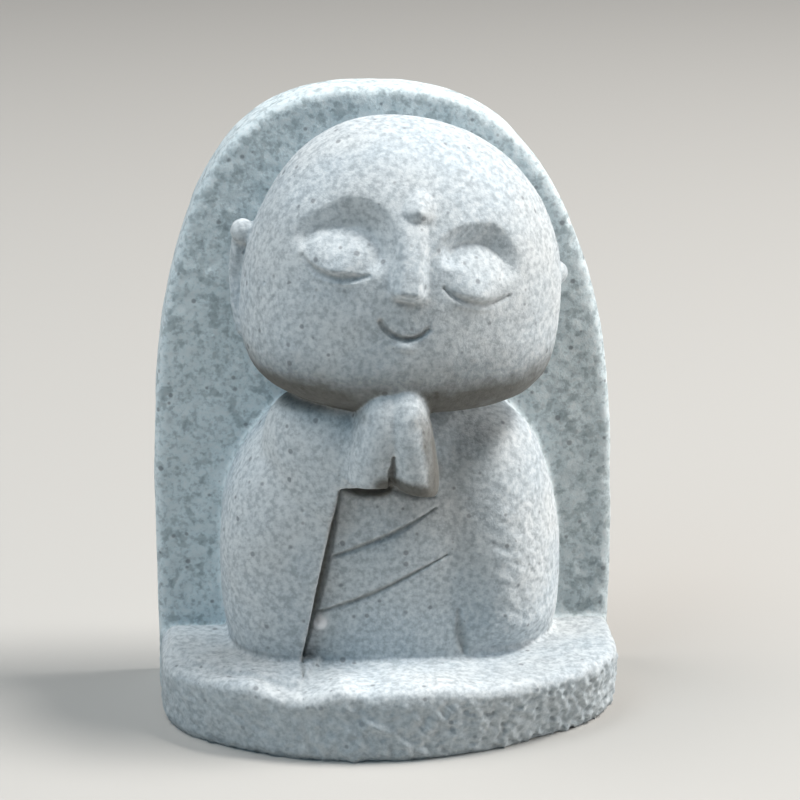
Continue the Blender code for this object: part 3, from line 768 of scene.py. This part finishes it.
def eye_relief(eye, across, up):
    """The hollow under a brow, with the lid that fills its lower part, and the closed line below."""
    distance, share, right_hand = nearest(spline(eye["brow"]), across, up)
    inside = higher(distance * right_hand, 0.0, HOLLOW_EASE) - HOLLOW_START
    ends = smooth_step(share, 0.0, HOLLOW_ENDS[0]) * (1.0 - smooth_step(share, HOLLOW_ENDS[1], 1.0))
    hollow = -np.minimum(eye["slope"] * inside, eye["depth"]) * ends * smooth_step(up, *HOLLOW_FADE)
    (lid_across, lid_up), (left, right, down, top) = eye["lid"]
    side, rise = across - lid_across, up - lid_up
    side /= np.where(side < 0.0, left, right)
    rise /= np.where(rise < 0.0, down, top)
    radius = (np.abs(side) ** LID_FULLNESS + np.abs(rise) ** LID_FULLNESS) ** (1.0 / LID_FULLNESS)
    relief = higher(hollow, LID_RISE - LID_FALL * radius ** LID_SECTION, LID_EASE)
    half_width, depth = EYE_LINE
    distance, share, _ = nearest(spline(eye["line"]), across, up)
    ends = smooth_step(share, 0.0, EYE_LINE_ENDS[0]) * (1.0 - smooth_step(share, EYE_LINE_ENDS[1], 1.0))
    depth *= EYE_LINE_END_DEPTH + (1.0 - EYE_LINE_END_DEPTH) * ends
    half_width *= EYE_LINE_END_WIDTH + (1.0 - EYE_LINE_END_WIDTH) * ends
    return relief - depth * bell(distance / half_width)


def nose_relief(across, up):
    """A wedge that rises from the brows to the tip."""
    distance, share, _ = nearest(spline(NOSE_PATH), across, up)
    rise = NOSE_RISES[0] + (NOSE_RISES[1] - NOSE_RISES[0]) * share
    half_width = NOSE_HALF_WIDTHS[0] + (NOSE_HALF_WIDTHS[1] - NOSE_HALF_WIDTHS[0]) * share
    profile = 1.0 - smooth_step(distance / half_width, NOSE_RIDGE, 1.0)
    return rise * profile * smooth_step(up, *NOSE_END)


def face_relief(across, up):
    """Height of the face's features over the round head, in the plane of the face."""
    left, right = (eye_relief(eye, across, up) for eye in (LEFT_EYE, RIGHT_EYE))
    height = np.where(across < FACE_DIVIDE, left, right)
    height += nose_relief(across, up)
    half_width, depth = MOUTH_LINE
    distance, _, _ = nearest(spline(MOUTH), across, up)
    height -= depth * bell(distance / half_width)
    from_lip = np.hypot((across - LIP_CENTRE[0]) / LIP_REACH[0], (up - LIP_CENTRE[1]) / LIP_REACH[1])
    height += LIP_RISE * bell(from_lip)
    aside, above = across - URNA_CENTRE[0], up - URNA_CENTRE[1]
    reach_aside, reach_up, reach_down = URNA_REACH
    from_urna = np.hypot(aside / reach_aside, above / np.where(above > 0.0, reach_up, reach_down))
    height += URNA_RISE * bell(from_urna) ** URNA_FULLNESS
    return height


def face_plane(x, z):
    """Places in the tilted plane of the face, from x and z."""
    turn = math.radians(FACE_TILT)
    side, rise = x - FACE_CENTRE[0], z - FACE_CENTRE[1]
    return side * math.cos(turn) - rise * math.sin(turn), side * math.sin(turn) + rise * math.cos(turn)


def carve(model):
    """Face, sleeve and carved lines: what a step away still shows."""
    points, normals = read_skin(model)
    x, y, z = points.T
    facing = smooth_step(-normals[:, 1], *CARVED_FACING)
    across, up = face_plane(x, z)
    on_face = facing * (y < HEAD_CENTRE[1]) * smooth_step(up, *CHIN_FADE)
    height = face_relief(across, up) * on_face
    distance, _, _ = nearest(spline(RIGHT_SLEEVE_PATH), x, z)
    on_body = facing * smooth_step(-y, *SLAB_FADE) * (z < HEAD_CENTRE[2])
    sleeve = RIGHT_SLEEVE_RISE * bell(distance / RIGHT_SLEEVE_HALF_WIDTH)
    height += sleeve * on_body * smooth_step(z, *HEM_FADE)
    for path, half_width, depth in BODY_LINES:
        distance, share, _ = nearest(spline(path), x, z)
        height -= depth * bell(distance / (half_width * taper(share))) * on_body * smooth_step(z, *LINE_FADE)
    points += normals * height[:, None]
    rim = smooth_step(-y, *RIM_DEPTHS) * smooth_step(z, *RIM_LEVELS) * (z < RIM_TOP)
    wave_x, wave_z = np.array(RIM_WAVE).T
    points[:, 2] += rim * np.interp(x, wave_x, wave_z)
    write_skin(model, points)


def on_base_side(points, normals):
    """1 on the base's upright front and sides, 0 elsewhere."""
    upright = 1.0 - smooth_step(np.abs(normals[:, 2]), *BASE_SIDE_FACING)
    below_rim = smooth_step(-points[:, 2], *BASE_SIDE_TOP)
    return upright * below_rim * smooth_step(SLAB_THICKNESS - points[:, 1], *BASE_SIDE_BACK)


def stretched(points, slant, length):
    """Points drawn together along a slant, so that noise read there comes out longer by that factor."""
    along = np.array((math.cos(slant), 0.0, -math.sin(slant)))
    return points - (1.0 - 1.0 / length) * (points @ along)[:, None] * along


def weather(model):
    """Undulation, pits, tool marks and grain: what the casting and the years have left."""
    points, normals = read_skin(model)
    x, y, z = points.T
    seen = smooth_step(-normals[:, 1], *GRAIN_FACING)
    height = noise_layers(points, UNDULATION) + noise_layers(points, FINE_GRAIN) * seen

    side = on_base_side(points, normals) * smooth_step(-y, *BASE_RELIEF_FADE)
    strength = BASE_PITS_LEAST + (1.0 - BASE_PITS_LEAST) * smooth_step(x, *BASE_PITS_ACROSS)
    holes = pits(points * BASE_PITS["squash"], BASE_PITS["cell"], BASE_PITS["seed"])
    height -= side * strength * BASE_PITS["depth"] * holes
    strength = BASE_RIDGES_LEAST + (1.0 - BASE_RIDGES_LEAST) * smooth_step(x, *BASE_RIDGES_ACROSS)
    along_ridges = stretched(points, RIDGE_SLANT, RIDGE_LENGTH)
    ridges = value_noise(along_ridges, BASE_RIDGES["cell"], BASE_RIDGES["seed"])
    height += side * strength * BASE_RIDGES["height"] * ridges

    aside, above = (x - SCRATCH_CENTRE[0]) / SCRATCH_REACH[0], (z - SCRATCH_CENTRE[1]) / SCRATCH_REACH[1]
    sleeve = bell(np.hypot(aside, above)) ** 0.5 * (y < SCRATCH_START[0]) * (z > SCRATCH_START[1])
    along_scratches = stretched(points, SCRATCH_SLANT, SCRATCH_LENGTH)
    scratches = value_noise(along_scratches, SCRATCHES["cell"], SCRATCHES["seed"])
    height += SCRATCHES["height"] * sleeve * scratches

    slab_face = smooth_step(y, *SLAB_FACE_FADE) * (normals[:, 1] < SLAB_FACING)
    grain = value_noise(points, SLAB_GRAIN["cell"], SLAB_GRAIN["seed"])
    height += slab_face * SLAB_GRAIN["height"] * grain
    depth_left, depth_more = SLAB_PIT_DEPTHS
    pit_depth = depth_left + depth_more * smooth_step(x, *SLAB_PITS_ACROSS)
    height -= slab_face * pit_depth * pits(points, SLAB_PITS["cell"], SLAB_PITS["seed"])

    for place, radius, depth in MARKS:
        height -= depth * bell(np.linalg.norm(points - np.array(place), axis=1) / radius)
    points += normals * (height * (normals[:, 2] > UNDERSIDE_FACING))[:, None]
    write_skin(model, points)


def thin_out(model):
    """Keeps the triangles where the form bends, fewer at the back, and flattens the underside."""
    points, normals = read_skin(model)
    plain = smooth_step(normals[:, 1], *PLAIN_FACING) * smooth_step(points[:, 1], *PLAIN_FADE)
    set_weights(model, "plain", LEAST_PLAIN + (1.0 - LEAST_PLAIN) * plain)
    ratio = TRIANGLES / (2 * len(model.data.polygons))
    apply_modifier(model, "Thin out", "DECIMATE", ratio=ratio,
                   vertex_group="plain", vertex_group_factor=PLAIN_FACTOR)
    model.vertex_groups.clear()
    points, normals = read_skin(model)
    under = (normals[:, 2] < UNDERSIDE_FACING) & (points[:, 2] < UNDERSIDE_LEVEL - BASE_HEIGHT)
    points[under, 2] = -BASE_HEIGHT
    points[:, 2] = np.maximum(points[:, 2], -BASE_HEIGHT)
    write_skin(model, points)


def store(model, name, values):
    """Stores one number a point for the stone to read."""
    attribute = model.data.attributes.new(name, "FLOAT", "POINT")
    attribute.data.foreach_set("value", np.clip(values, 0.0, 1.0).astype(np.float32))


def stain(model):
    """Marks where dirt has settled and where shade is painted, for the colour."""
    points, normals = read_skin(model)
    x, y, z = points.T
    front = smooth_step(-normals[:, 1], *DIRT_AND_SHADE_FACING)
    below_head = z < HEAD_CENTRE[2]
    dirt_and_shade = np.zeros(len(points))
    # Carved lines: brown dirt and painted shade
    for path, half_width, depth in BODY_LINES:
        distance, share, _ = nearest(spline(path), x, z)
        ends = taper(share)
        line = LINE_DIRT_AND_SHADE * min(1.0, depth) * ends * bell(distance / (LINE_DIRT_AND_SHADE_WIDTH * half_width * ends))
        dirt_and_shade = np.maximum(dirt_and_shade, line * below_head * (z > LOWEST_LINE_DIRT_AND_SHADE))
    # Brown stain and painted shade along the creases, under the forearm's ledge and under the hands' lower
    # end
    for path, reach, strength in BODY_STAINS_AND_SHADE:
        distance, share, _ = nearest(spline(path), x, z)
        dirt_and_shade = np.maximum(dirt_and_shade, strength * taper(share) * bell(distance / reach) * below_head)
    # Dirt and painted shade in the eye lines and the mouth, and painted shade under the nose's tip
    across, up = face_plane(x, z)
    on_head = z > HEAD_CENTRE[2] - HEAD_REACH[4]
    for path, reach, strength in FACE_STAINS_AND_SHADE:
        distance, share, _ = nearest(spline(path), across, up)
        dirt_and_shade = np.maximum(dirt_and_shade, strength * taper(share) * bell(distance / reach) * on_head)

    patchy = DIRT_AND_SHADE_EVEN + noise_layers(points, DIRT_AND_SHADE_PATCHES)
    # Painted shade under the chin and low on the head, darker where the stone faces down, with some grime
    above_shoulders = z > SHOULDER_LEVEL
    underneath = smooth_step(-normals[:, 2], *FACING_DOWN) * above_shoulders
    low_on_head = smooth_step(-z, *CHIN_LEVELS) * (CHIN_SHADE + underneath)
    low_on_head *= smooth_step(-normals[:, 2], *BELOW_CHEEKS) * above_shoulders
    dirt_and_shade = np.maximum(dirt_and_shade, CHIN_SHADE_AND_DIRT * low_on_head * patchy)

    aside = (x - MOUND_DIRT_CENTRE[0]) / MOUND_DIRT_REACH[0]
    forward = (y - MOUND_DIRT_CENTRE[1]) / MOUND_DIRT_REACH[1]
    level, level_reach = MOUND_DIRT_LEVEL
    on_mound = bell(np.hypot(aside, forward)) ** 0.5 * (np.abs(z - level) < level_reach)
    dirt_and_shade = np.maximum(dirt_and_shade, MOUND_DIRT * on_mound * patchy)

    # Painted shade and brown dirt on the side of the hands that faces right
    beside_hands = smooth_step(normals[:, 0], *HAND_SHADE_FACING) * (1.0 - smooth_step(z, *HAND_SHADE_AND_DIRT_TOP))
    beside_hands *= (x < HANDS_RIGHT) * (y < HANDS_BACK) * (z > HANDS_LOWEST)
    dirt_and_shade = np.maximum(dirt_and_shade, HAND_SHADE_AND_DIRT * beside_hands * patchy)
    dirt_and_shade = dirt_and_shade * front * smooth_step(-y, *DIRT_AND_SHADE_DEPTHS)

    # Painted shade low on the slab, at the right of the figure
    slab_front, slab_back = SLAB_PAINTED_SHADE_DEPTHS
    low_on_slab = smooth_step(x, *SLAB_PAINTED_SHADE_ACROSS) * smooth_step(-z, *SLAB_PAINTED_SHADE_LEVELS) * front
    low_on_slab *= (y > slab_front) * (y < slab_back)
    store(model, "dirt_and_shade", np.maximum(dirt_and_shade, SLAB_PAINTED_SHADE * low_on_slab))
    # Where the slab's colour shows, its bluer tint partly painted sky light, and its coarser patches
    store(model, "slab", smooth_step(y, *SLAB_SHADE))
    # Painted shade: the base's upright front and sides made darker
    store(model, "painted_side_shade", on_base_side(points, normals))
    from_bead = np.linalg.norm(points - np.array(BEAD), axis=1)
    store(model, "pale", BEAD_PALENESS * bell(from_bead / BEAD_PALE_REACH))


class Shader:
    """A short way to add nodes to a material and wire them."""

    def __init__(self, name):
        self.material = bpy.data.materials.new(name)
        self.material.use_nodes = True
        self.tree = self.material.node_tree
        self.principled = self.tree.nodes["Principled BSDF"]

    def node(self, kind, inputs=(), **settings):
        """Adds a node, sets its properties, and fills its inputs with values or with other outputs."""
        node = self.tree.nodes.new(kind)
        for setting, value in settings.items():
            setattr(node, setting, value)
        for socket, value in dict(inputs).items():
            if isinstance(value, bpy.types.NodeSocket):
                self.tree.links.new(value, node.inputs[socket])
            else:
                node.inputs[socket].default_value = value
        return node

    def noise(self, place, cell, detail=2.0, roughness=0.5):
        """Noise from 0 to 1 with lumps of about a cell."""
        inputs = {"Vector": place, "Scale": 1.0 / cell, "Detail": detail, "Roughness": roughness}
        return self.node("ShaderNodeTexNoise", inputs).outputs["Fac"]

    def ramp(self, value, low, high, start=0.0, end=1.0):
        """Maps low to start and high to end, held at both ends."""
        inputs = {"Value": value, "From Min": low, "From Max": high, "To Min": start, "To Max": end}
        return self.node("ShaderNodeMapRange", inputs).outputs["Result"]

    def math(self, operation, first, second):
        """Works out one operation on two numbers."""
        return self.node("ShaderNodeMath", {0: first, 1: second}, operation=operation).outputs[0]

    def mix(self, share, first, second):
        """Blends two colours. The mix node has its colours at inputs 6 and 7 and at output 2."""
        inputs = {0: share, 6: first, 7: second}
        return self.node("ShaderNodeMix", inputs, data_type="RGBA").outputs[2]


def cast_stone():
    """Pale blue-grey cast stone with dark and light grains, coarser on the slab, brown dirt, and painted
    shade in the creases, under the chin and hands, low on the slab and on the base's sides; the slab's bluer
    tint is partly painted sky light.
    """
    shader = Shader("cast_stone")
    position = shader.node("ShaderNodeTexCoord").outputs["Object"]
    in_units = shader.node("ShaderNodeVectorMath", {0: position, "Scale": 1.0 / UNIT}, operation="SCALE")
    place = in_units.outputs[0]
    dirt_and_shade, slab_share, painted_side_shade, pale = (
        shader.node("ShaderNodeAttribute", attribute_name=name).outputs["Fac"]
        for name in ("dirt_and_shade", "slab", "painted_side_shade", "pale"))
    broad = shader.ramp(shader.noise(place, *BROAD_NOISE), *BROAD_RAMP)
    colour = shader.mix(broad, *BODY_COLOURS)
    # The slab's face: its own tint with painted sky light in its shade
    colour = shader.mix(slab_share, colour, SLAB_COLOUR_AND_SKY_SHADE)
    grain = shader.ramp(shader.noise(place, *GRAIN_NOISE), *GRAIN_RAMP)
    colour = shader.mix(shader.ramp(grain, *DARK_GRAIN_RAMP), colour, DARK_GRAIN)
    colour = shader.mix(shader.ramp(grain, *LIGHT_GRAIN_RAMP), colour, LIGHT_GRAIN)
    coarse = shader.noise(place, *PATCH_NOISE)
    dark_patch = shader.math("MULTIPLY", shader.ramp(coarse, *DARK_PATCH_RAMP), slab_share)
    light_patch = shader.math("MULTIPLY", shader.ramp(coarse, *LIGHT_PATCH_RAMP), slab_share)
    colour = shader.mix(dark_patch, colour, DARK_PATCH)
    colour = shader.mix(light_patch, colour, LIGHT_PATCH)
    inputs = {"Vector": place, "Scale": 1.0 / SPECK_CELL, "Randomness": 1.0}
    cells = shader.node("ShaderNodeTexVoronoi", inputs)
    chosen = shader.node("ShaderNodeSeparateColor", {"Color": cells.outputs["Color"]}).outputs["Red"]
    reach = shader.ramp(chosen, *SPECK_REACH_RAMP)
    speck = shader.ramp(shader.math("SUBTRACT", reach, cells.outputs["Distance"]), *SPECK_EDGE_RAMP)
    colour = shader.mix(speck, colour, SPECK_COLOUR)
    # Painted shade on the base's upright sides
    colour = shader.mix(shader.math("MULTIPLY", painted_side_shade, BASE_SIDE_SHADE_SHARE), colour, BASE_SIDE_SHADE_COLOUR)
    # Dirt and painted shade
    colour = shader.mix(shader.math("MULTIPLY", dirt_and_shade, DIRT_AND_SHADE_SHARE), colour, DIRT_AND_SHADE_COLOUR)
    colour = shader.mix(pale, colour, BEAD_COLOUR)
    shader.tree.links.new(colour, shader.principled.inputs["Base Color"])
    shader.principled.inputs["Roughness"].default_value = STONE_ROUGHNESS
    shader.principled.inputs["Metallic"].default_value = 0.0
    shader.principled.inputs["Specular IOR Level"].default_value = STONE_SPECULAR
    fine = shader.noise(place, *BUMP_NOISE)
    inputs = {"Strength": BUMP_STRENGTH, "Distance": BUMP_DEPTH * UNIT, "Height": fine}
    bump = shader.node("ShaderNodeBump", inputs)
    shader.tree.links.new(bump.outputs["Normal"], shader.principled.inputs["Normal"])
    return shader.material


def carved_skin():
    """The statue's skin, carved, weathered and brought to its place in the frame."""
    model = fuse("carved_jizo", [slab(), base(), *body(), *hands(), *head_and_ears()])
    blend_arm(model)
    carve(model)
    weather(model)
    thin_out(model)
    stain(model)
    model.data.transform(Matrix.Translation(ORIGIN) @ Matrix.Scale(UNIT, 4))
    return model


def statue():
    """The whole statue as one piece that stands for the CAD solid."""
    model = carved_skin()
    model.data.materials.clear()
    model.data.materials.append(cast_stone())
    model.data.shade_smooth()
    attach(model, "root")
    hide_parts("jizo_statue")


def plain_surface(name, colour, roughness):
    """A matt surface of one colour, for the studio."""
    shader = Shader(name)
    shader.principled.inputs["Base Color"].default_value = (*colour, 1.0)
    shader.principled.inputs["Roughness"].default_value = roughness
    return shader.material


def studio_floor():
    """A plain pale floor that the statue stands on."""
    bm = bmesh.new()
    bmesh.ops.create_circle(bm, cap_ends=True, radius=FLOOR_RADIUS, segments=FLOOR_SEGMENTS)
    floor = add_object("studio_floor", bm)
    floor.location.z = low_corner.z
    floor.data.materials.append(plain_surface("pale_floor", FLOOR_COLOUR, FLOOR_ROUGHNESS))


def direction(azimuth, elevation):
    """The way from the statue at these angles, in degrees: azimuth 0 is the front, 90 the right."""
    around, above = math.radians(azimuth), math.radians(elevation)
    return Vector((math.sin(around) * math.cos(above), -math.cos(around) * math.cos(above), math.sin(above)))


def studio_light():
    """Soft light from the upper right and the upper left, as in the photograph, with a little cool fill."""
    for name, (azimuth, elevation, width, watts, colour) in LIGHTS.items():
        data = bpy.data.lights.new(name, "AREA")
        data.shape = "DISK"
        data.size = width
        data.energy = watts
        data.color = colour
        light = bpy.data.objects.new(name, data)
        bpy.context.scene.collection.objects.link(light)
        aim = direction(azimuth, elevation)
        light.location = AIM_POINT + aim * LIGHT_DISTANCE
        light.rotation_euler = aim.to_track_quat("Z", "Y").to_euler()
    world = bpy.data.worlds.new("studio_world")
    world.use_nodes = True
    background = world.node_tree.nodes["Background"]
    background.inputs["Color"].default_value = (*WORLD_COLOUR, 1.0)
    background.inputs["Strength"].default_value = WORLD_STRENGTH
    bpy.context.scene.world = world
    bpy.context.scene.view_settings.view_transform = "Standard"


def photo_camera():
    """A camera at the photograph's viewing angle."""
    back = direction(CAMERA_AZIMUTH, CAMERA_ELEVATION)
    right = direction(CAMERA_AZIMUTH + 90.0, 0.0)
    turn = Matrix((right, back.cross(right), back)).transposed().to_4x4()
    data = bpy.data.cameras.new("photo_camera")
    data.lens = CAMERA_LENS
    data.sensor_width = CAMERA_SENSOR
    data.shift_x, data.shift_y = CAMERA_SHIFT
    camera = bpy.data.objects.new("photo_camera", data)
    bpy.context.scene.collection.objects.link(camera)
    camera.matrix_world = Matrix.Translation(AIM_POINT + back * CAMERA_DISTANCE) @ turn
    bpy.context.scene.camera = camera


statue()
studio_floor()
studio_light()
photo_camera()
